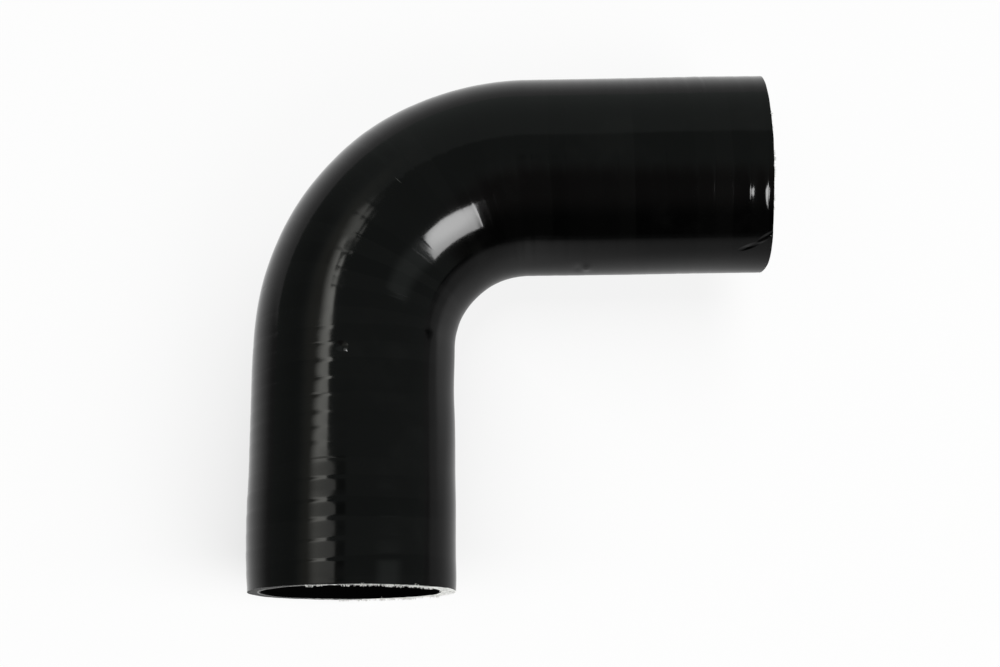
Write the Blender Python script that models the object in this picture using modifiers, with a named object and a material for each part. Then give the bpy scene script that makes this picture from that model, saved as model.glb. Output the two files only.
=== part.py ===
"""Moulded silicone elbow hose, cut square at both mouths and lying on its side.

The hose is laid up straight, as the real one is wrapped: a round blank whose
skin carries one continuous helical step, left by the curing tape. The bore is
cut while the blank is straight, and the blank is then bent along its
centreline. Leg A runs to -Y and leg B to +X from the crossing of the two
centrelines. The lowest line of the skin is at Z = 0, under the middle of the
plan outline. Metres, +Z up.
"""

import math

import bmesh
import bpy
from mathutils import Vector

# Section
BORE = 0.063
WALL = 0.005

# Route of the centreline
BEND_RADIUS = 0.064
BEND_ANGLE = math.radians(90.0)
LEG_A = 0.152  # from the crossing of the centrelines to mouth A
LEG_B = 0.150  # from the crossing of the centrelines to mouth B

# Steps that the curing tape leaves in the skin
LAP_PITCH = 0.007
LAP_STEP = 0.00025
LAP_FALL = 0.0014  # length along the hose in which the skin drops at a tape edge

# Fineness of the round forms
SKIN_SIDES = 48
BORE_SIDES = 48
BEND_RING_ANGLE = math.radians(5.0)
PATH_SPAN_ANGLE = math.radians(45.0)
PATH_STEPS = 48

CUTTER_OVERRUN = 0.004  # how far the bore's cutter runs past each mouth
MERGE_DISTANCE = 0.00001

OUTER_RADIUS = BORE / 2 + WALL
TANGENT_LENGTH = BEND_RADIUS * math.tan(BEND_ANGLE / 2)
STRAIGHT_A = LEG_A - TANGENT_LENGTH
STRAIGHT_B = LEG_B - TANGENT_LENGTH
BEND_LENGTH = BEND_RADIUS * BEND_ANGLE
BLANK_LENGTH = STRAIGHT_A + BEND_LENGTH + STRAIGHT_B


def station(distance):
    """Point and heading of the centreline at a distance from mouth A, about the crossing."""
    turned = min(max(distance - STRAIGHT_A, 0.0) / BEND_RADIUS, BEND_ANGLE)
    past_bend = max(distance - STRAIGHT_A - BEND_LENGTH, 0.0)
    before_bend = min(distance - STRAIGHT_A, 0.0)
    heading = Vector((math.sin(turned), math.cos(turned), 0.0))
    point = Vector(
        (
            BEND_RADIUS * (1.0 - math.cos(turned)),
            BEND_RADIUS * math.sin(turned) - TANGENT_LENGTH,
            0.0,
        )
    )
    return point + heading * (before_bend + past_bend), heading


def bend_stations(step_angle):
    """Distances from mouth A of even steps round the bend, its two ends included."""
    count = max(1, math.ceil(BEND_ANGLE / step_angle - 1e-6))
    return [STRAIGHT_A + BEND_LENGTH * i / count for i in range(count + 1)]


def crossing_location():
    """Where the centrelines cross, with the plan outline centred and the skin on Z = 0."""
    edges = []
    for distance in [0.0, *bend_stations(BEND_RING_ANGLE), BLANK_LENGTH]:
        point, heading = station(distance)
        side = Vector((heading.y, -heading.x, 0.0)) * OUTER_RADIUS
        edges += [point + side, point - side]
    middle_x = (min(e.x for e in edges) + max(e.x for e in edges)) / 2
    middle_y = (min(e.y for e in edges) + max(e.y for e in edges)) / 2
    return Vector((-middle_x, -middle_y, OUTER_RADIUS))


def silicone(name):
    """Black glossy silicone rubber."""
    material = bpy.data.materials.new(name)
    material.use_nodes = True
    shader = material.node_tree.nodes["Principled BSDF"]
    shader.inputs["Base Color"].default_value = (0.008, 0.009, 0.009, 1.0)
    shader.inputs["Roughness"].default_value = 0.16
    shader.inputs["Metallic"].default_value = 0.0
    shader.inputs["IOR"].default_value = 1.41
    material.diffuse_color = (0.03, 0.032, 0.032, 1.0)
    return material


def profile_object(name, points, collection):
    """An open run of edges through (radius, height) points on the +X side of the Z axis."""
    mesh = bpy.data.meshes.new(name)
    bm = bmesh.new()
    verts = [bm.verts.new((radius, 0.0, height)) for radius, height in points]
    for upper, lower in zip(verts, verts[1:]):
        bm.edges.new((upper, lower))
    bm.to_mesh(mesh)
    bm.free()
    profile = bpy.data.objects.new(name, mesh)
    collection.objects.link(profile)
    return profile


def add_screw(profile, sides, pitch=0.0, turns=1):
    """Turns a profile about Z, or winds it up Z where it has a pitch."""
    screw = profile.modifiers.new("Turn", "SCREW")
    screw.axis = "Z"
    screw.angle = math.tau
    screw.screw_offset = pitch
    screw.iterations = turns
    screw.steps = sides
    screw.render_steps = sides
    screw.use_merge_vertices = True
    screw.merge_threshold = MERGE_DISTANCE
    screw.use_smooth_shade = True


def wrapped_blank(name, collection):
    """Solid round blank from Z = 0 to its full length, with the tape's helical step in its skin."""
    turns = math.ceil(BLANK_LENGTH / LAP_PITCH) + 3
    start = -LAP_PITCH
    crest = OUTER_RADIUS
    trough = OUTER_RADIUS - LAP_STEP
    one_lap = [
        (trough, start),
        (crest, start - LAP_FALL),
        (trough, start - LAP_PITCH),
    ]
    skin = profile_object(name + "_skin", one_lap, collection)
    add_screw(skin, SKIN_SIDES, LAP_PITCH, turns)

    evaluated = skin.evaluated_get(bpy.context.evaluated_depsgraph_get())
    mesh = bpy.data.meshes.new_from_object(evaluated)
    mesh.name = name
    bpy.data.objects.remove(skin)

    bm = bmesh.new()
    bm.from_mesh(mesh)
    bmesh.ops.remove_doubles(bm, verts=bm.verts[:], dist=MERGE_DISTANCE)
    for height, outward in ((0.0, -1.0), (BLANK_LENGTH, 1.0)):
        cut = bmesh.ops.bisect_plane(
            bm,
            geom=bm.verts[:] + bm.edges[:] + bm.faces[:],
            dist=MERGE_DISTANCE,
            plane_co=(0.0, 0.0, height),
            plane_no=(0.0, 0.0, outward),
            clear_outer=True,
        )
        rim = [item for item in cut["geom_cut"] if isinstance(item, bmesh.types.BMEdge)]
        cap = bmesh.ops.edgenet_fill(bm, edges=rim)
        for face in cap["faces"]:
            face.smooth = False
    bmesh.ops.recalc_face_normals(bm, faces=bm.faces[:])
    bm.to_mesh(mesh)
    bm.free()
    blank = bpy.data.objects.new(name, mesh)
    collection.objects.link(blank)
    return blank


def bore_cutter(name, collection):
    """Round bar through the blank, ringed where the hose bends so that it bends with it."""
    top = BLANK_LENGTH + CUTTER_OVERRUN
    bottom = -CUTTER_OVERRUN
    radius = BORE / 2
    rings = [(radius, height) for height in reversed(bend_stations(BEND_RING_ANGLE))]
    points = [(0.0, top), (radius, top), *rings, (radius, bottom), (0.0, bottom)]
    cutter = profile_object(name, points, collection)
    add_screw(cutter, BORE_SIDES)
    cutter.hide_render = True
    cutter.display_type = "WIRE"
    return cutter


def centreline_guide(name, collection):
    """Path that the straight blank is bent along, from mouth A to mouth B."""
    curve = bpy.data.curves.new(name, "CURVE")
    curve.dimensions = "3D"
    curve.resolution_u = PATH_STEPS
    curve.render_resolution_u = PATH_STEPS
    stops = [0.0, *bend_stations(PATH_SPAN_ANGLE), BLANK_LENGTH]
    spline = curve.splines.new("BEZIER")
    spline.bezier_points.add(len(stops) - 1)

    def handle_length(start, end):
        """Handle that keeps a span straight, or on the bend's arc."""
        middle = (start + end) / 2
        if STRAIGHT_A < middle < STRAIGHT_A + BEND_LENGTH:
            return 4 / 3 * math.tan((end - start) / BEND_RADIUS / 4) * BEND_RADIUS
        return (end - start) / 3

    before = [handle_length(stops[0], stops[1])]
    before += [handle_length(a, b) for a, b in zip(stops, stops[1:])]
    after = before[1:] + before[-1:]
    for knot, distance, back, ahead in zip(spline.bezier_points, stops, before, after):
        point, heading = station(distance)
        knot.handle_left_type = "FREE"
        knot.handle_right_type = "FREE"
        knot.co = point
        knot.handle_left = point - heading * back
        knot.handle_right = point + heading * ahead
    guide = bpy.data.objects.new(name, curve)
    collection.objects.link(guide)
    guide.hide_render = True
    guide.display_type = "WIRE"
    return guide


def build():
    for item in list(bpy.data.objects):
        bpy.data.objects.remove(item, do_unlink=True)

    parts = bpy.data.collections.new("silicone_elbow_hose")
    cutters = bpy.data.collections.new("cutters_and_guides")
    for collection in (parts, cutters):
        bpy.context.scene.collection.children.link(collection)

    hose = wrapped_blank("elbow_hose", parts)
    hose.data.materials.append(silicone("black_silicone"))
    bore = bore_cutter("bore_cutter", cutters)
    guide = centreline_guide("centreline", cutters)

    cut = hose.modifiers.new("Bore", "BOOLEAN")
    cut.operation = "DIFFERENCE"
    cut.solver = "EXACT"
    cut.object = bore

    bend = hose.modifiers.new("Bend", "CURVE")
    bend.object = guide
    bend.deform_axis = "POS_Z"

    for item in (hose, bore, guide):
        item.location = crossing_location()


build()
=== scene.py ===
"""Looks of a moulded silicone elbow hose, lying on its side on a pale studio floor.

The hose is one wall of rubber and fabric, swept along one centreline from
mouth A to mouth B. Its skin carries the steps of the curing tape, and its two
cut ends show the threads of the fabric plies.
"""

import math
import random

import bmesh
import bpy
import numpy as np
from bpy.props import FloatProperty, FloatVectorProperty, IntProperty, PointerProperty
from bpy.types import Operator, Panel, PropertyGroup
from mathutils import Matrix, Vector, noise


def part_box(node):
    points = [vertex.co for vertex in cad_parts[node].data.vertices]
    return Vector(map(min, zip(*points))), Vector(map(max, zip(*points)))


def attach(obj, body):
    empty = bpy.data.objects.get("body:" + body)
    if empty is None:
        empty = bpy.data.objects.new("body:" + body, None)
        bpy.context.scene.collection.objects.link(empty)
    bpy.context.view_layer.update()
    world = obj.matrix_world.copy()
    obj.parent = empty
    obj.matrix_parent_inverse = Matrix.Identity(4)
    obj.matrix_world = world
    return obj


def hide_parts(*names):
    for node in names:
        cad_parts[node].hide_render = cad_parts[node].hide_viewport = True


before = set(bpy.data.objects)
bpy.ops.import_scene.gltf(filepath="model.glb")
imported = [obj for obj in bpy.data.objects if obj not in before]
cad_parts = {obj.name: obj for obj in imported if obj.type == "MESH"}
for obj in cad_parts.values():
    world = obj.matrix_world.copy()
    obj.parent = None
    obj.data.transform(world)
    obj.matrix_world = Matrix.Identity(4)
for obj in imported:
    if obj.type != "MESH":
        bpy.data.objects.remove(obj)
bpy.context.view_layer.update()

bl_info = {
    "name": "Silicone elbow hose",
    "version": (1, 0, 0),
    "blender": (4, 5, 0),
    "location": "3D View > Sidebar > Elbow Hose",
    "description": (
        "Makes a tape-wrapped silicone elbow hose with frayed cut ends, and a plain studio for it"
    ),
    "category": "Add Mesh",
}

LOWEST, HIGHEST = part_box("elbow_hose")
UP = Vector((0.0, 0.0, 1.0))
MILLIMETRE = 0.001
WHITE = (1.0, 1.0, 1.0, 1.0)
BLACK = (0.0, 0.0, 0.0, 1.0)

# Tape edges along the top of the hose: millimetres from mouth A, and how deep the step is
# beside the usual one
TAPE_EDGES = (
    (-4.5, 1.0), (2.2, 1.3), (9.0, 1.6), (15.6, 1.4), (22.0, 0.7), (28.5, 1.2),
    (35.8, 1.3), (41.5, 0.4), (47.2, 0.4), (52.8, 0.8), (57.9, 0.9), (64.0, 1.0),
    (69.9, 0.9), (75.9, 0.8), (81.5, 0.4), (87.5, 0.4), (94.0, 0.3), (101.0, 0.15),
    (107.0, 0.15), (113.2, 0.35), (119.3, 0.45), (125.4, 0.2), (131.4, 0.2), (137.2, 0.3),
    (144.5, 0.7), (149.2, 0.6), (155.3, 0.4), (161.0, 0.6), (166.9, 0.4), (172.6, 0.6),
    (178.6, 0.5), (184.2, 0.4), (190.1, 0.6), (196.3, 0.5), (202.0, 0.7), (208.1, 0.4),
    (213.8, 0.5), (219.9, 0.6), (225.7, 0.4), (231.4, 0.6), (237.2, 0.5), (242.0, 0.5),
    (247.2, 0.6), (253.8, 2.2), (260.0, 0.3), (266.1, 0.7), (272.3, 0.7), (279.0, 0.7),
    (285.0, 0.7),
)

# How far the round section is pressed oval: millimetres from mouth A, millimetres of widening
OVAL = (
    (0.0, 0.10), (20.0, 0.25), (31.0, 0.30), (42.0, 0.10), (67.0, 0.10), (78.0, 0.10),
    (87.0, 0.10), (104.0, 0.20), (130.0, 0.0), (275.0, 0.0),
)

# Dents and swellings: millimetres from mouth A, share of a turn from the bottom over the outer
# side, height, reach along the hose and reach round it in millimetres
BUMPS = (
    (142.0, 0.25, 0.8, 16.0, 14.0),
    (112.0, 0.25, -0.4, 9.0, 16.0),
    (92.0, 0.25, -0.4, 9.0, 16.0),
    (209.4, 0.735, 0.5, 1.5, 2.2),
    (206.6, 0.735, -0.25, 1.6, 2.5),
    (265.8, 0.586, 0.28, 1.5, 5.2),
    (271.2, 0.592, 0.28, 1.4, 5.5),
    (0.0, 0.25, -0.40, 9.0, 20.0),
    (0.0, 0.75, 0.40, 9.0, 20.0),
    (24.0, 0.25, 0.25, 14.0, 18.0),
    (136.0, 0.75, 0.42, 20.0, 13.0),
    (72.0, 0.75, -0.40, 10.0, 16.0),
    (101.5, 0.25, -0.35, 9.0, 16.0),
    (133.0, 0.25, -0.25, 8.0, 14.0),
    (153.0, 0.25, 0.30, 9.0, 14.0),
    (176.0, 0.25, -0.20, 12.0, 16.0),
    (215.0, 0.25, -0.28, 55.0, 18.0),
    (276.0, 0.25, -0.55, 16.0, 18.0),
)

# Small marks in the skin: millimetres from mouth A, share of a turn, half length and half width
# in millimetres, slant from the hose's length in degrees, height in millimetres, paleness (worn
# scratches are paler; the bump at the dimple carries a painted highlight)
MARKS = (
    ("dimple", 79.9, 0.499, 1.9, 2.4, 0.0, -0.85, 0.0),
    # The dimple's bump: its paleness is a painted highlight
    ("dimple_bump_painted_highlight", 78.6, 0.505, 0.8, 1.0, 20.0, 0.50, 0.10),
    ("hair_scratch_bend", 142.1, 0.482, 2.2, 0.14, 86.0, -0.015, 0.02),
    ("hair_scratch_inside", 103.4, 0.585, 4.4, 0.16, 89.0, -0.012, 0.012),
    ("rim_nick", 100.1, 0.328, 0.5, 3.0, 0.0, -0.06, 0.0),
    ("end_crease_left", 266.9, 0.679, 4.2, 1.3, -30.0, -0.40, 0.0),
    ("end_crease_right", 272.6, 0.656, 3.6, 0.9, -40.0, -0.30, 0.0),
    ("end_crease_ridge", 271.2, 0.667, 2.4, 0.8, -35.0, 0.25, 0.0),
)

# Layers of unevenness: size of the features, how far they reach, and seed
TAPE_WAVER = ((0.022, 0.10, 1), (0.007, 0.03, 2))
SKIN_WAVES = ((0.045, 0.00015, 5), (0.014, 0.00003, 6))
KNIFE_WAVES = ((0.012, 0.00018, 8), (0.004, 0.00008, 9))

# Where the tape steps all but vanish inside the bend: share of a turn, and millimetres from mouth A
CALM_TURNS = (0.51, 0.56, 0.85, 0.92)
CALM_END = (160.0, 175.0)
CALM_SHARE = 0.85

# Where the hair-thin creases are weak over the bend, in millimetres from mouth A
WEAK_CREASES = (98.0, 110.0, 138.0, 150.0)

# Cut ends, in metres: how far from the cut the knife's wander shows, and the lip of mouth B
KNIFE_REACH = 0.004
LIP_TURN = 0.70
LIP_WIDTH = 0.014
LIP_HEIGHT = 0.0010

# Cut face: distance from one ply to the next and depth of the innermost line of thread, in metres,
# and the share of a turn that the smeared part is centred on
PLY_PITCH = 0.00112
INNER_LINE = 0.0042
SMEARED_TURN = 0.26

# Loose threads: where round the cut they stand, their depths in metres, and strands in a tuft
FRAYED_TURNS = (0.447, 1.04)
THREAD_DEPTHS = (0.0008, 0.0019, 0.0030, 0.0041)
TUFT_STRANDS = (3, 5, 8, 12, 18)
THREAD_ROOT = 0.0003
THREAD_SIDES = 4

SILICONE_IOR = 1.41

# Lamps and camera, in metres and radians
KEY_TOWARD = math.radians(-39.5)
KEY_DISTANCE = 1.5
KEY_SIZE = (0.88, 1.32)
SIDE_MIDDLE = (-0.78, 0.40, 1.2)
SIDE_SIZE = (1.0, 1.06)
CAMERA_PLACE = (0.0055, -0.1361, 0.5710)
CAMERA_TURN = (0.2460, 0.0199, -0.0109)
LENS = 54.512
SENSOR = 36.0


class HoseSizes(PropertyGroup):
    """Sizes of the hose."""

    bore: FloatProperty(name="Bore", description="Inside diameter", default=0.063, unit="LENGTH")
    wall: FloatProperty(
        name="Wall", description="Thickness of the wall", default=0.005, unit="LENGTH"
    )
    bend_radius: FloatProperty(
        name="Bend radius", description="Radius of the centreline", default=0.064, unit="LENGTH"
    )
    bend_angle: FloatProperty(
        name="Bend angle", description="Angle that the hose turns through",
        default=math.radians(90.0), subtype="ANGLE",
    )
    lap_step: FloatProperty(
        name="Tape step", description="Height of the step at a tape edge", default=0.00005,
        unit="LENGTH",
    )
    lap_fall: FloatProperty(
        name="Tape step length", description="Length in which the skin drops at a tape edge",
        default=0.0014, unit="LENGTH",
    )
    sides: IntProperty(name="Sides", description="Sides of the round section", default=120)
    ring_gap: FloatProperty(
        name="Ring gap", description="Distance between the rings of the skin", default=0.0004,
        unit="LENGTH",
    )
    wall_rings: IntProperty(name="Wall rings", description="Rings across a cut end", default=5)
    tufts: IntProperty(
        name="Tufts", description="Tufts of loose thread on each cut end", default=110
    )
    fibre_length: FloatProperty(
        name="Fibre length", description="Usual reach of a loose thread end", default=0.00055,
        unit="LENGTH",
    )


class HoseColours(PropertyGroup):
    """Colours and gloss of the hose."""

    skin: FloatVectorProperty(
        name="Skin", description="Colour of the moulded skin", default=(0.0003, 0.0004, 0.0004),
        subtype="COLOR", size=3,
    )
    skin_worn: FloatVectorProperty(
        name="Worn skin", description="Colour of the skin where it is rubbed dull",
        default=(0.0025, 0.0026, 0.0025), subtype="COLOR", size=3,
    )
    skin_roughness: FloatProperty(
        name="Skin roughness", description="Usual roughness of the skin", default=0.07,
        subtype="FACTOR",
    )
    lining: FloatVectorProperty(
        name="Lining", description="Colour of the bore's lining", default=(0.0003, 0.0003, 0.0003),
        subtype="COLOR", size=3,
    )
    thread: FloatVectorProperty(
        name="Thread", description="Colour of the cut fabric threads", default=(0.96, 0.96, 0.94),
        subtype="COLOR", size=3,
    )
    cut_rubber: FloatVectorProperty(
        name="Cut rubber", description="Colour of the rubber between the plies",
        default=(0.05, 0.05, 0.05), subtype="COLOR", size=3,
    )


class StageSettings(PropertyGroup):
    """The studio."""

    floor: FloatVectorProperty(
        name="Floor", description="Colour of the floor", default=(0.90, 0.90, 0.90),
        subtype="COLOR", size=3,
    )
    floor_size: FloatProperty(
        name="Floor size", description="Length of the floor's sides", default=8.0, unit="LENGTH"
    )
    whiteness: FloatProperty(
        name="Backdrop whiteness", description="How far the floor is seen as plain white",
        default=0.94, subtype="FACTOR",
    )
    key: FloatProperty(name="Key light", description="Brightness of the key lamp", default=13.0)
    side: FloatProperty(name="Side light", description="Brightness of the side lamp", default=3.6)
    fill: FloatProperty(name="Fill", description="Brightness of the room", default=0.2)


def outer_radius(sizes):
    """Half the outside diameter."""
    return sizes.bore / 2 + sizes.wall


def girth_of(sizes):
    """Length once round the skin."""
    return math.tau * outer_radius(sizes)


def route(sizes):
    """The centreline: its crossing point and the lengths of its three runs."""
    outer = outer_radius(sizes)
    crossing = Vector((LOWEST.x + outer, HIGHEST.y - outer, LOWEST.z + outer))
    tangent = sizes.bend_radius * math.tan(sizes.bend_angle / 2)
    straight_a = crossing.y - tangent - LOWEST.y
    straight_b = HIGHEST.x - crossing.x - tangent
    return crossing, straight_a, sizes.bend_radius * sizes.bend_angle, straight_b


def parts_of(geometry, kind):
    """The elements of one kind among those that an operator gives back."""
    return [item for item in geometry if isinstance(item, kind)]


def run_straight(bm, ring, way, gap):
    """Draws an open ring out along a straight way in even steps, and gives back its last place."""
    drawn = bmesh.ops.extrude_edge_only(bm, edges=ring)["geom"]
    verts = set(parts_of(drawn, bmesh.types.BMVert))
    bmesh.ops.translate(bm, verts=list(verts), vec=way)
    last = [e for e in parts_of(drawn, bmesh.types.BMEdge) if all(v in verts for v in e.verts)]
    long_edges = [e for v in verts for e in v.link_edges if e.other_vert(v) not in verts]
    steps = max(1, round(way.length / gap))
    bmesh.ops.subdivide_edges(bm, edges=long_edges, cuts=steps - 1, use_grid_fill=True)
    return last


def swept_tube(bm, radius, gap, sizes):
    """Open tube of one radius along the whole centreline, with its end rings at mouths A and B."""
    crossing, straight_a, bend, straight_b = route(sizes)
    start = crossing - Vector((0.0, sizes.bend_radius, 0.0))
    centre = start + Vector((sizes.bend_radius, 0.0, 0.0))
    facing = Matrix.Translation(start) @ Matrix.Rotation(math.radians(90.0), 4, "X")
    before = set(bm.edges)
    verts = bmesh.ops.create_circle(
        bm, cap_ends=False, segments=sizes.sides, radius=radius, matrix=facing
    )["verts"]
    ring = [e for e in bm.edges if e not in before]
    spun = bmesh.ops.spin(
        bm, geom=verts + ring, cent=centre, axis=(0.0, 0.0, 1.0), angle=-sizes.bend_angle,
        steps=max(1, round(bend / gap)), use_merge=False, use_duplicate=False,
    )
    far = parts_of(spun["geom_last"], bmesh.types.BMEdge)
    end_a = run_straight(bm, ring, Vector((0.0, -straight_a, 0.0)), gap)
    end_b = run_straight(bm, far, Vector((straight_b, 0.0, 0.0)), gap)
    return end_a, end_b


def cut_end(bm, ring, middle, sizes):
    """Carries an end ring inwards over the wall's thickness, and gives back its last vertices."""
    outer = outer_radius(sizes)
    reaches = [outer - sizes.wall * i / sizes.wall_rings for i in range(sizes.wall_rings + 1)]
    for reach, next_reach in zip(reaches, reaches[1:]):
        drawn = bmesh.ops.extrude_edge_only(bm, edges=ring)["geom"]
        verts = set(parts_of(drawn, bmesh.types.BMVert))
        smaller = Vector((1.0, 1.0, 1.0)) * (next_reach / reach)
        bmesh.ops.scale(bm, vec=smaller, space=Matrix.Translation(-middle), verts=list(verts))
        ring = [e for e in parts_of(drawn, bmesh.types.BMEdge) if all(v in verts for v in e.verts)]
    return list(verts)


def hose_shell(sizes):
    """One closed wall: skin, cut ends and lining, as faces with material 0, 1 and 2."""
    bm = bmesh.new()
    crossing = route(sizes)[0]
    middles = (
        Vector((crossing.x, LOWEST.y, crossing.z)), Vector((HIGHEST.x, crossing.y, crossing.z))
    )
    skin_ends = swept_tube(bm, outer_radius(sizes), sizes.ring_gap, sizes)
    skin = set(bm.faces)
    lining_ends = swept_tube(bm, sizes.bore / 2, sizes.ring_gap * 10, sizes)
    lining = set(bm.faces) - skin
    meeting = []
    for outer_ring, inner_ring, middle in zip(skin_ends, lining_ends, middles):
        meeting += cut_end(bm, outer_ring, middle, sizes)
        meeting += {v for e in inner_ring for v in e.verts}
    for face in bm.faces:
        face.smooth = True
        face.material_index = 0 if face in skin else 2 if face in lining else 1
    bmesh.ops.remove_doubles(bm, verts=meeting, dist=0.00001)
    for edge in bm.edges:
        edge.smooth = len({f.material_index for f in edge.link_faces}) == 1
    bmesh.ops.recalc_face_normals(bm, faces=bm.faces[:])
    return bm


def hose_coordinates(points, sizes):
    """For each point: distance along the hose, turn from the bottom, radius, and its directions."""
    crossing, straight_a, bend, straight_b = route(sizes)
    radius = sizes.bend_radius
    q = points - np.array(crossing)
    turned = np.clip(np.arctan2(q[:, 1] + radius, radius - q[:, 0]), 0.0, sizes.bend_angle)
    on_a = q[:, 1] <= -radius
    on_b = (q[:, 0] >= radius) & ~on_a
    turned = np.where(on_a, 0.0, np.where(on_b, sizes.bend_angle, turned))
    along = straight_a + radius * turned
    along = np.where(on_a, straight_a + q[:, 1] + radius, along)
    along = np.where(on_b, straight_a + bend + q[:, 0] - radius, along)
    side = np.hypot(q[:, 0] - radius, q[:, 1] + radius) - radius
    side = np.where(on_a, -q[:, 0], np.where(on_b, q[:, 1], side))
    round_angle = np.arctan2(q[:, 2], side)
    turn = ((round_angle + math.pi / 2) / math.tau) % 1.0
    reach = np.hypot(side, q[:, 2])
    sideways = np.stack([-np.cos(turned), np.sin(turned), np.zeros(len(q))], 1)
    outward = sideways * np.cos(round_angle)[:, None]
    outward[:, 2] = np.sin(round_angle)
    heading = np.stack([np.sin(turned), np.cos(turned), np.zeros(len(q))], 1)
    return along, turn, reach, outward, heading


def soft_noise(points, scale, seed):
    """Smooth noise between about -1 and 1 at each point, with features of a size."""
    shift = Vector((seed * 7.3, seed * 3.1, seed * 5.7))
    return np.array([noise.noise(Vector(p) / scale + shift) for p in points])


def uneven(points, layers):
    """Layers of soft noise added up."""
    return sum(soft_noise(points, size, seed) * height for size, height, seed in layers)


def eased(share):
    """A share held between 0 and 1, with a soft start and a soft end."""
    share = np.clip(share, 0.0, 1.0)
    return share * share * (3.0 - 2.0 * share)


def tape_turns(points, along, turn):
    """Turns of tape laid from mouth A to each point. At a whole number lies a tape edge."""
    places = np.array([place for place, depth in TAPE_EDGES]) * MILLIMETRE
    laid = np.interp(along, places, np.arange(len(places)))
    return laid - (turn - 0.5) + uneven(points, TAPE_WAVER)


def skin_relief(points, along, turn, turns, sizes):
    """How far the skin stands out at each point: tape steps, waves, ovality and dents."""
    mm = along / MILLIMETRE
    places = np.array([place for place, depth in TAPE_EDGES])
    depths = np.array([depth for place, depth in TAPE_EDGES])
    lap = np.floor(turns)
    within = turns - lap
    edge_ahead = lap + 1.0 + turn - 0.5
    depth = np.interp(edge_ahead, np.arange(len(depths)), depths)
    depth = depth * (0.9 + 0.8 * soft_noise(points, 0.03, 3))
    pitch = np.interp(mm, places[1:], np.diff(places)) * MILLIMETRE
    fall = np.clip(sizes.lap_fall / pitch, 0.05, 0.6)
    dropping = eased((within - (1.0 - fall)) / fall)
    rising = eased(within / (1.0 - fall))
    calm = np.interp(turn, CALM_TURNS, (0.0, 1.0, 1.0, 0.0))
    calm = calm * np.interp(mm, CALM_END, (1.0, 0.0))
    relief = (rising - dropping - 0.5) * sizes.lap_step * depth * (1.0 - CALM_SHARE * calm)

    # Mouth A draws in a little over its last 8 mm
    relief -= np.clip(1.0 - mm / 8.0, 0.0, 1.0) ** 2 * 0.00030

    # Each turn of tape lies a little higher or lower than the next, differently round the hose
    round_way = math.tau * turn
    lean = np.stack([np.cos(round_way) * 1.3, np.sin(round_way) * 1.3, lap * 0.61], 1)
    relief += soft_noise(lean, 1.0, 4) * 0.00003
    relief += uneven(points, SKIN_WAVES)

    knots = np.array(OVAL)
    oval = np.interp(mm, knots[:, 0], knots[:, 1]) * MILLIMETRE
    relief -= oval * np.cos(2.0 * math.tau * turn)

    girth = girth_of(sizes) / MILLIMETRE
    for place, round_place, height, length, width in BUMPS:
        off = (turn - round_place + 0.5) % 1.0 - 0.5
        far = ((mm - place) / length) ** 2 + (off * girth / width) ** 2
        relief += height * MILLIMETRE * np.exp(-far)
    return relief


def lay_map(mesh, name, across, up):
    """A UV map from one pair of values for each face corner."""
    layer = mesh.uv_layers.new(name=name)
    layer.uv.foreach_set("vector", np.stack([across, up], 1).astype(np.float32).ravel())


def shape_wall(mesh, sizes):
    """Gives the swept wall its relief, and UV maps of the skin, the tape turns and the cuts."""
    points = np.empty(len(mesh.vertices) * 3)
    mesh.vertices.foreach_get("co", points)
    points = points.reshape(-1, 3)
    outer, girth = outer_radius(sizes), girth_of(sizes)
    along, turn, reach, outward, heading = hose_coordinates(points, sizes)
    total = sum(route(sizes)[1:])
    turns = tape_turns(points, along, turn)
    share = np.clip((reach - sizes.bore / 2) / sizes.wall, 0.0, 1.0)
    relief = skin_relief(points, along, turn, turns, sizes)
    moved = points + outward * (relief * share)[:, None]

    # The knife wanders a little round each cut
    near_a = np.exp(-along / KNIFE_REACH)
    near_b = np.exp(-(total - along) / KNIFE_REACH)
    moved += heading * (uneven(points, KNIFE_WAVES) * (near_a + near_b))[:, None]
    lip = np.exp(-(((turn - LIP_TURN) * girth / LIP_WIDTH) ** 2)) * LIP_HEIGHT
    moved += heading * (lip * near_b)[:, None]
    mesh.vertices.foreach_set("co", moved.ravel())

    corner = np.empty(len(mesh.loops), dtype=np.int64)
    mesh.loops.foreach_get("vertex_index", corner)
    round_place = turn[corner].reshape(-1, 4)
    wrapped = round_place < round_place.max(1, keepdims=True) - 0.5
    round_place = (round_place + wrapped).ravel()
    lay_map(mesh, "skin", along[corner], round_place * girth)
    lay_map(mesh, "tape", round_place, turns[corner] - wrapped.ravel())
    lay_map(mesh, "cut", outer - reach[corner], round_place * girth)
    mesh.update()


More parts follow.
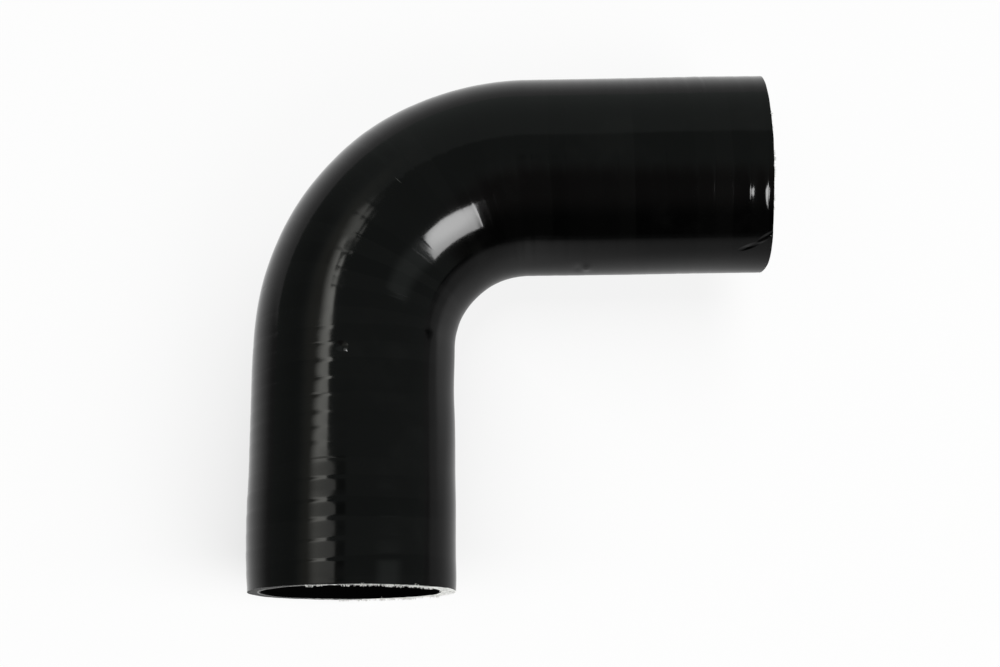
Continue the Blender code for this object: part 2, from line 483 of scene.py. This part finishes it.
class Nodes:
    """Short ways to add and join the nodes of one node tree."""

    def __init__(self, tree):
        self.tree = tree

    def add(self, kind, **inputs):
        """A node, with its sockets filled by name: from another socket, or with a value."""
        node = self.tree.nodes.new(kind)
        for name, value in inputs.items():
            self.put(node.inputs[name.replace("_", " ")], value)
        return node

    def put(self, socket, value):
        """Links a socket to another one, or gives it a value."""
        if isinstance(value, bpy.types.NodeSocket):
            self.tree.links.new(value, socket)
        else:
            socket.default_value = value

    def math(self, operation, first, second=0.0, third=0.0, clamp=False):
        """One operation on up to three values."""
        node = self.tree.nodes.new("ShaderNodeMath")
        node.operation = operation
        node.use_clamp = clamp
        for socket, value in zip(node.inputs, (first, second, third)):
            self.put(socket, value)
        return node.outputs[0]

    def product(self, first, *others):
        """Values multiplied with one another."""
        for other in others:
            first = self.math("MULTIPLY", first, other)
        return first

    def changed(self, share, change):
        """One, with a change added where the share is one."""
        return self.math("MULTIPLY_ADD", share, change, 1.0)

    def ramp(self, value, low, high, bottom=0.0, top=1.0, smooth=True):
        """A value carried from one range to another, and held at its ends."""
        node = self.tree.nodes.new("ShaderNodeMapRange")
        node.interpolation_type = "SMOOTHSTEP" if smooth else "LINEAR"
        names = ("Value", "From Min", "From Max", "To Min", "To Max")
        for name, number in zip(names, (value, low, high, bottom, top)):
            self.put(node.inputs[name], number)
        return node.outputs["Result"]

    def noise(self, vector, scale, detail=2.0, roughness=0.5):
        """Smooth noise about one half."""
        node = self.add(
            "ShaderNodeTexNoise", Vector=vector, Scale=scale, Detail=detail, Roughness=roughness
        )
        return node.outputs["Fac"]

    def mix(self, share, first, second):
        """Two colours mixed by a share."""
        node = self.tree.nodes.new("ShaderNodeMix")
        node.data_type = "RGBA"
        self.put(node.inputs[0], share)
        self.put(node.inputs[6], first)
        self.put(node.inputs[7], second)
        return node.outputs[2]

    def mix_shaders(self, share, first, second):
        """Two shaders mixed by a share."""
        node = self.tree.nodes.new("ShaderNodeMixShader")
        for socket, value in zip(node.inputs, (share, first, second)):
            self.put(socket, value)
        return node.outputs[0]


def new_material(name):
    """An empty material with one Principled shader, and the helper for its nodes."""
    material = bpy.data.materials.new(name)
    material.use_nodes = True
    shader = material.node_tree.nodes["Principled BSDF"]
    return material, Nodes(material.node_tree), shader


def rgba(colour):
    """A colour with full alpha."""
    return (*colour, 1.0)


def uv_map(nodes, name):
    """The piece's own UV map of a name."""
    node = nodes.tree.nodes.new("ShaderNodeUVMap")
    node.uv_map = name
    return node.outputs[0]


def spot(nodes, over, girth, along, turn, length, width, slant):
    """A soft oval spot on the skin, one in its middle and nothing outside it."""
    placed = nodes.add("ShaderNodeMapping", Vector=over)
    placed.vector_type = "TEXTURE"
    placed.inputs["Location"].default_value = (along * MILLIMETRE, turn * girth, 0.0)
    placed.inputs["Rotation"].default_value = (0.0, 0.0, math.radians(slant))
    placed.inputs["Scale"].default_value = (length * MILLIMETRE, width * MILLIMETRE, 1.0)
    shape = nodes.add("ShaderNodeTexGradient", Vector=placed.outputs[0])
    shape.gradient_type = "SPHERICAL"
    return shape.outputs["Fac"]


def skin_material(sizes, colours):
    """Glossy black silicone: tape creases, a faint orange peel, rubbed patches and a few marks, one
    of them a painted highlight.
    """
    material, nodes, shader = new_material("black_silicone_skin")
    place = nodes.add("ShaderNodeTexCoord").outputs["Object"]
    over = uv_map(nodes, "skin")
    taped = nodes.add("ShaderNodeSeparateXYZ", Vector=uv_map(nodes, "tape"))

    # Hair-thin crease where each turn of tape ended, deeper in some places than in others
    within = nodes.math("FRACT", taped.outputs["Y"])
    away = nodes.math("ABSOLUTE", nodes.math("SUBTRACT", within, 0.96))
    strength = nodes.ramp(nodes.noise(place, 60.0, 2.0), 0.42, 0.66)
    spread = nodes.add("ShaderNodeSeparateXYZ", Vector=over)
    along, across = spread.outputs["X"], spread.outputs["Y"]
    girth = girth_of(sizes)
    side_start, side_full, side_ease, side_end = (girth * turn for turn in CALM_TURNS)
    last_calm, first_plain = (place * MILLIMETRE for place in CALM_END)
    inside = nodes.product(
        nodes.ramp(across, side_start, side_full),
        nodes.ramp(across, side_end, side_ease),
        nodes.ramp(along, first_plain, last_calm),
    )
    start, full, ease, end = (place * MILLIMETRE for place in WEAK_CREASES)
    weak = nodes.product(nodes.ramp(along, start, full), nodes.ramp(along, end, ease))
    strength = nodes.product(strength, nodes.changed(inside, -0.95), nodes.changed(weak, -0.90))
    crease = nodes.math("MULTIPLY", nodes.ramp(away, 0.0, 0.035, 1.0, 0.0), strength)
    height = nodes.math("MULTIPLY", crease, -0.000009)
    height = nodes.math("MULTIPLY_ADD", nodes.noise(place, 260.0, 2.0, 0.5), 0.000010, height)

    lap = nodes.tree.nodes.new("ShaderNodeTexWhiteNoise")
    lap.noise_dimensions = "1D"
    nodes.put(lap.inputs["W"], nodes.math("FLOOR", taped.outputs["Y"]))
    rubbed = nodes.ramp(nodes.noise(place, 38.0, 3.0, 0.6), 0.52, 0.72)
    rubbed = nodes.math("MULTIPLY", rubbed, 0.6)
    rubbed = nodes.math("MULTIPLY_ADD", lap.outputs["Value"], 0.6, rubbed, clamp=True)
    colour = nodes.mix(rubbed, rgba(colours.skin), rgba(colours.skin_worn))
    for name, far, turn, length, width, slant, depth, paleness in MARKS:
        shape = spot(nodes, over, girth, far, turn, length, width, slant)
        shape.node.label = name
        height = nodes.math("MULTIPLY_ADD", shape, depth * MILLIMETRE, height)
        # Paler marks: worn scratches, and a painted highlight on the dimple's bump
        if paleness:
            pale = (paleness, paleness, paleness, 1.0)
            colour = nodes.mix(nodes.ramp(shape, 0.1, 0.6), colour, pale)
    nodes.put(shader.inputs["Base Color"], colour)
    gloss = nodes.math("MULTIPLY_ADD", rubbed, 0.04, colours.skin_roughness)
    gloss = nodes.math("MULTIPLY_ADD", nodes.noise(place, 900.0, 2.0, 0.5), 0.03, gloss)
    nodes.put(shader.inputs["Roughness"], gloss)
    shader.inputs["IOR"].default_value = SILICONE_IOR
    bump = nodes.add("ShaderNodeBump", Height=height, Strength=1.0, Distance=1.0)
    nodes.put(shader.inputs["Normal"], bump.outputs["Normal"])
    return material


def cut_material(sizes, colours):
    """Knife-cut end: rubber with the cut threads of its fabric plies in rings."""
    material, nodes, shader = new_material("cut_fabric_plies")
    cut = nodes.add("ShaderNodeSeparateXYZ", Vector=uv_map(nodes, "cut"))
    depth, round_place = cut.outputs["X"], cut.outputs["Y"]
    place = nodes.add("ShaderNodeTexCoord").outputs["Object"]
    threads = nodes.noise(place, 1500.0, 3.0, 0.7)
    patches = nodes.noise(place, 160.0, 2.0, 0.6)

    # Four plies of thread: smeared over with rubber on the outer side of the bend, where only the
    # innermost ply shows, broken into dashes on top, and bare on the inner side
    girth = girth_of(sizes)
    off = nodes.math("ABSOLUTE", nodes.math("SUBTRACT", round_place, girth * SMEARED_TURN))
    frayed = nodes.ramp(off, girth * 0.14, girth * 0.21)
    bare = nodes.ramp(off, girth * 0.34, girth * 0.42)
    wavy = nodes.math("MULTIPLY_ADD", patches, 0.0008, depth)
    ply = nodes.math("SINE", nodes.math("MULTIPLY_ADD", wavy, math.tau / PLY_PITCH, -1.2))
    fuzz = nodes.math("MULTIPLY_ADD", ply, 0.10, nodes.math("MULTIPLY_ADD", threads, 0.9, 0.52))
    dashes = nodes.ramp(nodes.noise(place, 520.0, 3.0, 0.6), 0.44, 0.56)
    dashes = nodes.math("MULTIPLY", dashes, nodes.ramp(depth, 0.0010, 0.0020))
    dashes = nodes.math("MULTIPLY", dashes, nodes.math("SUBTRACT", 1.0, bare))
    share = nodes.math("ADD", dashes, bare)
    share = nodes.product(share, fuzz, frayed)
    inner_line = nodes.math("ABSOLUTE", nodes.math("SUBTRACT", depth, INNER_LINE))
    share = nodes.math("ADD", share, nodes.ramp(inner_line, 0.0, 0.0005, 0.30, 0.0), clamp=True)
    colour = nodes.mix(share, rgba(colours.cut_rubber), rgba(colours.thread))
    nodes.put(shader.inputs["Base Color"], colour)
    shader.inputs["Roughness"].default_value = 0.85
    bump = nodes.add("ShaderNodeBump", Height=threads, Strength=0.6, Distance=0.0003)
    nodes.put(shader.inputs["Normal"], bump.outputs["Normal"])
    return material


def lining_material(colours):
    """Matte black lining of the bore, with the faint print of fabric."""
    material, nodes, shader = new_material("black_lining")
    place = nodes.add("ShaderNodeTexCoord").outputs["Object"]
    weave = nodes.add(
        "ShaderNodeTexWave", Vector=uv_map(nodes, "skin"), Scale=160.0, Distortion=1.5
    )
    dull = nodes.noise(place, 120.0, 3.0, 0.6)
    lighter = tuple(c * 2.0 for c in colours.lining)
    nodes.put(shader.inputs["Base Color"], nodes.mix(dull, rgba(colours.lining), rgba(lighter)))
    nodes.put(shader.inputs["Roughness"], nodes.math("MULTIPLY_ADD", dull, 0.2, 0.7))
    shader.inputs["Specular IOR Level"].default_value = 0.02
    bump = nodes.add("ShaderNodeBump", Height=weave.outputs["Fac"], Strength=0.3, Distance=0.0001)
    nodes.put(shader.inputs["Normal"], bump.outputs["Normal"])
    return material


def fibre_material(colours):
    """Loose pale polyester threads."""
    material, nodes, shader = new_material("loose_threads")
    place = nodes.add("ShaderNodeTexCoord").outputs["Object"]
    tone = nodes.noise(place, 700.0, 2.0)
    darker = tuple(c * 0.55 for c in colours.thread)
    nodes.put(shader.inputs["Base Color"], nodes.mix(tone, rgba(darker), rgba(colours.thread)))
    shader.inputs["Roughness"].default_value = 0.7
    return material


def add_piece(name, bm, materials):
    """A finished mesh as an object in the scene, with its materials."""
    mesh = bpy.data.meshes.new(name)
    bm.to_mesh(mesh)
    bm.free()
    for material in materials:
        mesh.materials.append(material)
    piece = bpy.data.objects.new(name, mesh)
    bpy.context.scene.collection.objects.link(piece)
    return piece


class ELBOWHOSE_OT_wall(Operator):
    """Makes the hose's wall: moulded skin, two cut ends and lining"""

    bl_idname = "elbow_hose.make_wall"
    bl_label = "Make the hose's wall"
    bl_options = {"REGISTER", "UNDO"}

    def execute(self, context):
        sizes = context.scene.elbow_hose_sizes
        colours = context.scene.elbow_hose_colours
        materials = (
            skin_material(sizes, colours), cut_material(sizes, colours), lining_material(colours)
        )
        wall = add_piece("hose_wall", hose_shell(sizes), materials)
        shape_wall(wall.data, sizes)
        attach(wall, "root")
        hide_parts("elbow_hose")
        return {"FINISHED"}


def add_strand(bm, draw, mouth, turn, depth, sizes):
    """One loose thread end: a thin four-sided cone rooted in a cut end."""
    middle, facing, side = mouth
    outer = outer_radius(sizes)
    angle = math.tau * (turn - 0.25) + draw.gauss(0.0, 0.0005) / outer
    outward = side * math.cos(angle) + UP * math.sin(angle)
    inset = min(max(depth + draw.gauss(0.0, 0.0004), THREAD_ROOT), sizes.wall - THREAD_ROOT)
    root = middle + outward * (outer - inset) - facing * THREAD_ROOT
    lean = Vector([draw.gauss(0.0, 0.5) for _ in range(3)])
    aim = (facing + lean).normalized()
    length = sizes.fibre_length * draw.uniform(0.6, 1.5) + THREAD_ROOT
    stand = Matrix.Translation(root + aim * length / 2)
    stand = stand @ aim.to_track_quat("Z", "Y").to_matrix().to_4x4()
    thick = draw.uniform(0.00006, 0.00014)
    bmesh.ops.create_cone(
        bm, cap_ends=True, segments=THREAD_SIDES, radius1=thick, radius2=thick * 0.6,
        depth=length, matrix=stand,
    )


class ELBOWHOSE_OT_fibres(Operator):
    """Makes the loose thread ends that stand out of both cut ends"""

    bl_idname = "elbow_hose.make_fibres"
    bl_label = "Make the loose threads"
    bl_options = {"REGISTER", "UNDO"}

    def execute(self, context):
        sizes = context.scene.elbow_hose_sizes
        colours = context.scene.elbow_hose_colours
        crossing = route(sizes)[0]
        draw = random.Random(5)
        bm = bmesh.new()
        mouths = (
            (Vector((crossing.x, LOWEST.y, crossing.z)), Vector((0, -1, 0)), Vector((-1, 0, 0))),
            (Vector((HIGHEST.x, crossing.y, crossing.z)), Vector((1, 0, 0)), Vector((0, 1, 0))),
        )
        for mouth in mouths:
            for _ in range(sizes.tufts):
                turn = draw.uniform(*FRAYED_TURNS)
                depth = draw.choice(THREAD_DEPTHS)
                for _ in range(draw.choice(TUFT_STRANDS)):
                    add_strand(bm, draw, mouth, turn, depth, sizes)
        fibres = add_piece("cut_fibres", bm, (fibre_material(colours),))
        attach(fibres, "root")
        return {"FINISHED"}


def add_lamp(name, middle, aim, across, size):
    """A rectangular lamp that faces a direction, and the nodes that shade it from edge to edge."""
    lamp = bpy.data.lights.new(name, "AREA")
    lamp.shape = "RECTANGLE"
    lamp.size, lamp.size_y = size
    lamp.energy = math.pi * size[0] * size[1]
    lamp.use_nodes = True
    item = bpy.data.objects.new(name, lamp)
    bpy.context.scene.collection.objects.link(item)
    back = -Vector(aim).normalized()
    sideways = Vector(across).normalized()
    turned = Matrix((sideways, back.cross(sideways), back)).transposed()
    item.matrix_world = Matrix.Translation(middle) @ turned.to_4x4()
    item.visible_camera = False
    nodes = Nodes(lamp.node_tree)
    place = nodes.add("ShaderNodeNewGeometry").outputs["Position"]
    return nodes, lamp.node_tree.nodes["Emission"], place


def key_lamp(settings):
    """Upright soft box in front on the right, brightest in its middle."""
    way = Vector((math.cos(KEY_TOWARD), math.sin(KEY_TOWARD), 0.0))
    across = way.cross(UP)
    middle = Vector((-0.03, 0.03, 1.40)) + way * KEY_DISTANCE + across * 0.05
    nodes, glow, place = add_lamp("key_lamp", middle, -way, across, KEY_SIZE)
    centred = nodes.add("ShaderNodeMapping", Vector=place)
    centred.vector_type = "TEXTURE"
    centred.inputs["Location"].default_value = middle + Vector((0.0, 0.0, 0.12))
    centred.inputs["Scale"].default_value = (0.85, 0.85, 0.85)
    hot = nodes.add("ShaderNodeTexGradient", Vector=centred.outputs[0])
    hot.gradient_type = "SPHERICAL"
    level = nodes.ramp(hot.outputs["Fac"], 0.0, 0.75, settings.key * 0.72, settings.key * 1.15)
    nodes.put(glow.inputs["Strength"], level)


def side_lamp(settings):
    """Overhead strip on the left: sharp toward the middle, fading outward and toward its ends."""
    nodes, glow, place = add_lamp("side_lamp", Vector(SIDE_MIDDLE), -UP, (1, 0, 0), SIDE_SIZE)
    parts = nodes.add("ShaderNodeSeparateXYZ", Vector=place)
    x, y = parts.outputs["X"], parts.outputs["Y"]
    inner_edge = nodes.ramp(y, 0.05, 0.15, -0.280, -0.505, smooth=False)
    inner_edge = nodes.math("ADD", inner_edge, nodes.ramp(y, 0.26, 0.33, 0.0, 0.080))
    inner_edge = nodes.math("ADD", inner_edge, nodes.ramp(y, 0.44, 0.47, 0.0, -0.140))

    # Toward the strip's far corner the light is dimmer and stands further in
    slanted = nodes.math("MULTIPLY_ADD", x, 0.5, y)
    corner = nodes.ramp(slanted, 0.255, 0.290)
    further_in = nodes.ramp(y, 0.56, 0.64, 0.205, 0.090)
    inner_edge = nodes.math("MULTIPLY_ADD", corner, further_in, inner_edge)
    outer_edge = nodes.ramp(y, 0.18, 0.36, -1.02, -0.74, smooth=False)
    level = nodes.product(
        nodes.ramp(nodes.math("SUBTRACT", inner_edge, x), -0.02, 0.04),
        nodes.ramp(nodes.math("SUBTRACT", x, outer_edge), -0.12, 0.28),
        nodes.ramp(y, 0.08, 0.18, 0.26, 0.80),
        nodes.ramp(y, 0.24, 0.36, 1.0, 1.40),
        nodes.changed(corner, -0.60),
        nodes.ramp(slanted, 0.43, 0.50, 1.0, 0.0),
    )
    glow.inputs["Color"].default_value = (1.0, 1.0, 0.94, 1.0)
    nodes.put(glow.inputs["Strength"], nodes.math("MULTIPLY", level, settings.side))


def room(settings):
    """The room's light: white behind what the camera sees, and a soft, darker-fronted fill."""
    world = bpy.data.worlds.new("studio_room")
    bpy.context.scene.world = world
    world.use_nodes = True
    nodes = Nodes(world.node_tree)
    world.node_tree.nodes.clear()
    way = nodes.add("ShaderNodeTexCoord").outputs["Generated"]
    x, y, z = nodes.add("ShaderNodeSeparateXYZ", Vector=way).outputs

    # Dark in front on the left of the key lamp
    front = nodes.math("MULTIPLY_ADD", y, 0.866, nodes.math("MULTIPLY", x, 0.5))
    front = nodes.product(nodes.ramp(front, 0.05, -0.30), nodes.ramp(x, -0.6, -0.1))
    darker = nodes.math("MULTIPLY", front, nodes.ramp(z, 0.35, 0.80, -0.93, -0.55))

    # Brighter low behind
    back = nodes.product(
        nodes.ramp(nodes.math("MULTIPLY_ADD", z, -0.617, y), -0.025, 0.025),
        nodes.ramp(x, -0.75, -0.30),
        nodes.ramp(x, 0.90, 0.55),
    )

    # A glow round the side lamp, and duller low on the left
    halo = nodes.product(nodes.ramp(x, -0.25, -0.55), nodes.ramp(z, 0.52, 0.74))
    left = nodes.product(nodes.ramp(x, -0.35, -0.85), nodes.ramp(z, 0.70, 0.40))

    # A duller place overhead, and a brighter one on the right
    overhead = nodes.product(
        nodes.ramp(x, -0.30, -0.14),
        nodes.ramp(x, 0.01, -0.05),
        nodes.ramp(y, 0.165, 0.092),
        nodes.ramp(y, -0.02, 0.06),
        nodes.ramp(z, 0.80, 0.92),
    )
    patch = nodes.product(
        nodes.ramp(x, 0.48, 0.66),
        nodes.ramp(x, 0.92, 0.78),
        nodes.ramp(y, 0.108, 0.085),
        nodes.ramp(z, 0.30, 0.50),
    )
    level = nodes.math("MULTIPLY_ADD", back, settings.fill * 0.60, settings.fill)
    level = nodes.math("MULTIPLY_ADD", halo, settings.fill * 0.80, level)
    level = nodes.math("MULTIPLY_ADD", patch, settings.fill * 1.20, level)
    level = nodes.product(
        level,
        nodes.math("ADD", darker, 1.0),
        nodes.changed(left, -0.22),
        nodes.changed(overhead, -0.55),
    )
    soft = nodes.add("ShaderNodeBackground", Strength=level)
    tint = nodes.mix(front, (0.92, 1.0, 0.96, 1.0), (1.0, 0.90, 0.88, 1.0))
    tint = nodes.mix(halo, tint, (1.0, 1.0, 0.90, 1.0))
    nodes.put(soft.inputs["Color"], tint)
    white = nodes.add("ShaderNodeBackground", Strength=1.0)
    white.inputs["Color"].default_value = WHITE
    seen = nodes.add("ShaderNodeLightPath").outputs["Is Camera Ray"]
    both = nodes.mix_shaders(seen, soft.outputs[0], white.outputs[0])
    nodes.put(nodes.add("ShaderNodeOutputWorld").inputs["Surface"], both)


def floor_levels(nodes, x, y, sizes):
    """Painted light and shade on the floor: how bright it glows in the gloss, and how deep a
    painted shade lies beside the hose.
    """
    crossing = route(sizes)[0]
    bend = sizes.bend_radius
    half = crossing.z

    # Distance beyond the centreline: above nothing outside the bend, below it inside
    u = nodes.math("SUBTRACT", x, crossing.x + bend)
    v = nodes.math("ADD", y, bend - crossing.y)
    u_out = nodes.math("MINIMUM", u, 0.0)
    v_out = nodes.math("MAXIMUM", v, 0.0)
    squares = nodes.math("MULTIPLY_ADD", v_out, v_out, nodes.math("MULTIPLY", u_out, u_out))
    inside = nodes.math("MAXIMUM", nodes.math("MINIMUM", u, nodes.math("MULTIPLY", v, -1.0)), 0.0)
    from_centre = nodes.math("SUBTRACT", nodes.math("SQRT", squares), inside)
    beyond = nodes.math("SUBTRACT", from_centre, bend)
    side = nodes.math("GREATER_THAN", beyond, 0.0)
    gap = nodes.math("MAXIMUM", nodes.math("SUBTRACT", nodes.math("ABSOLUTE", beyond), half), 0.0)

    def fading(length):
        """One at the hose's foot, and less by e for each length away from it."""
        return nodes.math("EXPONENT", nodes.math("MULTIPLY", gap, -1.0 / length))

    # Painted glow outside the bend, seen only in the gloss: white at the hose's foot, brighter
    # behind than on the left
    behind = nodes.ramp(nodes.math("MULTIPLY_ADD", x, 0.25, y), -0.055, 0.09)
    rest = nodes.math("MULTIPLY_ADD", behind, 0.23, 0.15)
    foot = nodes.math("MULTIPLY_ADD", behind, 0.07, 0.88)
    outer = nodes.math("MULTIPLY_ADD", nodes.math("SUBTRACT", foot, rest), fading(0.130), rest)
    right = nodes.ramp(nodes.math("MULTIPLY_ADD", y, -0.6, x), 0.09, 0.22, 1.0, 0.0)
    outer = nodes.math("MULTIPLY_ADD", nodes.math("SUBTRACT", outer, 0.19), right, 0.19)

    # Painted glow inside the bend, seen only in the gloss: bright only close by, less so in the
    # corner, and darker away in front
    close = nodes.math("MULTIPLY", fading(0.033), nodes.ramp(x, 0.07, 0.13, 1.0, 0.0))
    corner = nodes.product(nodes.ramp(y, -0.05, 0.0), nodes.ramp(x, 0.08, 0.0))
    ahead = nodes.ramp(y, -0.02, 0.015, 1.0, 0.60)
    close = nodes.product(close, nodes.changed(corner, -0.65), ahead)
    inner = nodes.product(
        nodes.math("MULTIPLY_ADD", close, 0.45, 0.29),
        nodes.ramp(x, 0.22, 0.45, 1.0, 0.56),
        nodes.ramp(y, -0.12, -0.62, 1.0, 0.15),
    )
    painted_glow = nodes.math("MULTIPLY_ADD", nodes.math("SUBTRACT", outer, inner), side, inner)

    # Painted shade beside the hose, and none past its mouths
    depth = nodes.math("MULTIPLY", nodes.ramp(y, 0.10, -0.085, 0.02, 0.24), side)
    depth = nodes.math("MULTIPLY_ADD", nodes.math("SUBTRACT", 1.0, side), 0.09, depth)
    past_a = nodes.math("SUBTRACT", LOWEST.y, y)
    past = nodes.math("MAXIMUM", nodes.math("SUBTRACT", x, HIGHEST.x), past_a)
    depth = nodes.math("MULTIPLY", depth, nodes.ramp(past, -0.022, 0.004, 1.0, 0.0))
    return painted_glow, nodes.math("MULTIPLY", depth, fading(0.022))


def floor_material(settings, sizes):
    """Pale paper sweep: seen as near white, with the object's shadow faintly kept, a painted shade
    beside the hose, and a painted glow in the gloss.
    """
    material, nodes, shader = new_material("pale_floor")
    place = nodes.add("ShaderNodeTexCoord").outputs["Object"]
    parts = nodes.add("ShaderNodeSeparateXYZ", Vector=place)
    x, y = parts.outputs["X"], parts.outputs["Y"]
    paths = nodes.add("ShaderNodeLightPath")
    seen, mirrored = paths.outputs["Is Camera Ray"], paths.outputs["Is Glossy Ray"]
    mottled = nodes.math("MULTIPLY_ADD", nodes.noise(place, 3.0, 2.0), 0.04, 0.98)
    colour = nodes.mix(mottled, BLACK, rgba(settings.floor))
    nodes.put(shader.inputs["Base Color"], colour)
    shader.inputs["Roughness"].default_value = 1.0
    shader.inputs["Specular IOR Level"].default_value = 0.0
    painted_glow, painted_shade = floor_levels(nodes, x, y, sizes)
    # Glossy rays see the floor glow at a painted level
    level = nodes.math("MULTIPLY", painted_glow, mirrored)
    # The camera sees white, darkened by the painted shade beside the hose
    level = nodes.math("MULTIPLY_ADD", nodes.math("SUBTRACT", 1.0, painted_shade), seen, level)
    glow = nodes.add("ShaderNodeEmission", Strength=level)
    glow.inputs["Color"].default_value = WHITE
    share = nodes.math("MULTIPLY_ADD", seen, settings.whiteness, mirrored)
    both = nodes.mix_shaders(share, shader.outputs[0], glow.outputs[0])
    nodes.put(nodes.tree.nodes["Material Output"].inputs["Surface"], both)
    return material


class ELBOWHOSE_OT_stage(Operator):
    """Makes the floor, the lamps, the room and the camera"""

    bl_idname = "elbow_hose.make_stage"
    bl_label = "Make the studio"
    bl_options = {"REGISTER", "UNDO"}

    def execute(self, context):
        settings = context.scene.elbow_hose_stage
        bm = bmesh.new()
        bmesh.ops.create_grid(bm, x_segments=8, y_segments=8, size=settings.floor_size / 2)
        material = floor_material(settings, context.scene.elbow_hose_sizes)
        floor = add_piece("floor", bm, (material,))

        key_lamp(settings)
        side_lamp(settings)
        room(settings)

        lens = bpy.data.cameras.new("camera")
        lens.lens = LENS
        lens.sensor_width = SENSOR
        camera = bpy.data.objects.new("camera", lens)
        context.scene.collection.objects.link(camera)
        camera.location = CAMERA_PLACE
        camera.rotation_euler = CAMERA_TURN
        context.scene.camera = camera
        context.scene.view_settings.view_transform = "Standard"
        return {"FINISHED"}


class ELBOWHOSE_PT_panel(Panel):
    """Lists the hose's pieces and the studio"""

    bl_idname = "ELBOWHOSE_PT_panel"
    bl_label = "Elbow Hose"
    bl_space_type = "VIEW_3D"
    bl_region_type = "UI"
    bl_category = "Elbow Hose"

    def draw(self, context):
        for operator in OPERATORS:
            self.layout.operator(operator.bl_idname)
        for name in GROUPS:
            settings = getattr(context.scene, name)
            box = self.layout.box()
            for key in settings.__annotations__:
                box.prop(settings, key)


OPERATORS = (ELBOWHOSE_OT_stage, ELBOWHOSE_OT_wall, ELBOWHOSE_OT_fibres)
GROUPS = {
    "elbow_hose_sizes": HoseSizes,
    "elbow_hose_colours": HoseColours,
    "elbow_hose_stage": StageSettings,
}
CLASSES = (*GROUPS.values(), *OPERATORS, ELBOWHOSE_PT_panel)


def register():
    for item in CLASSES:
        bpy.utils.register_class(item)
    for name, group in GROUPS.items():
        setattr(bpy.types.Scene, name, PointerProperty(type=group))


def unregister():
    for name in GROUPS:
        delattr(bpy.types.Scene, name)
    for item in reversed(CLASSES):
        bpy.utils.unregister_class(item)


def main():
    """Makes everything in order."""
    register()
    bpy.ops.elbow_hose.make_stage()
    bpy.ops.elbow_hose.make_wall()
    bpy.ops.elbow_hose.make_fibres()


if __name__ == "__main__":
    main()
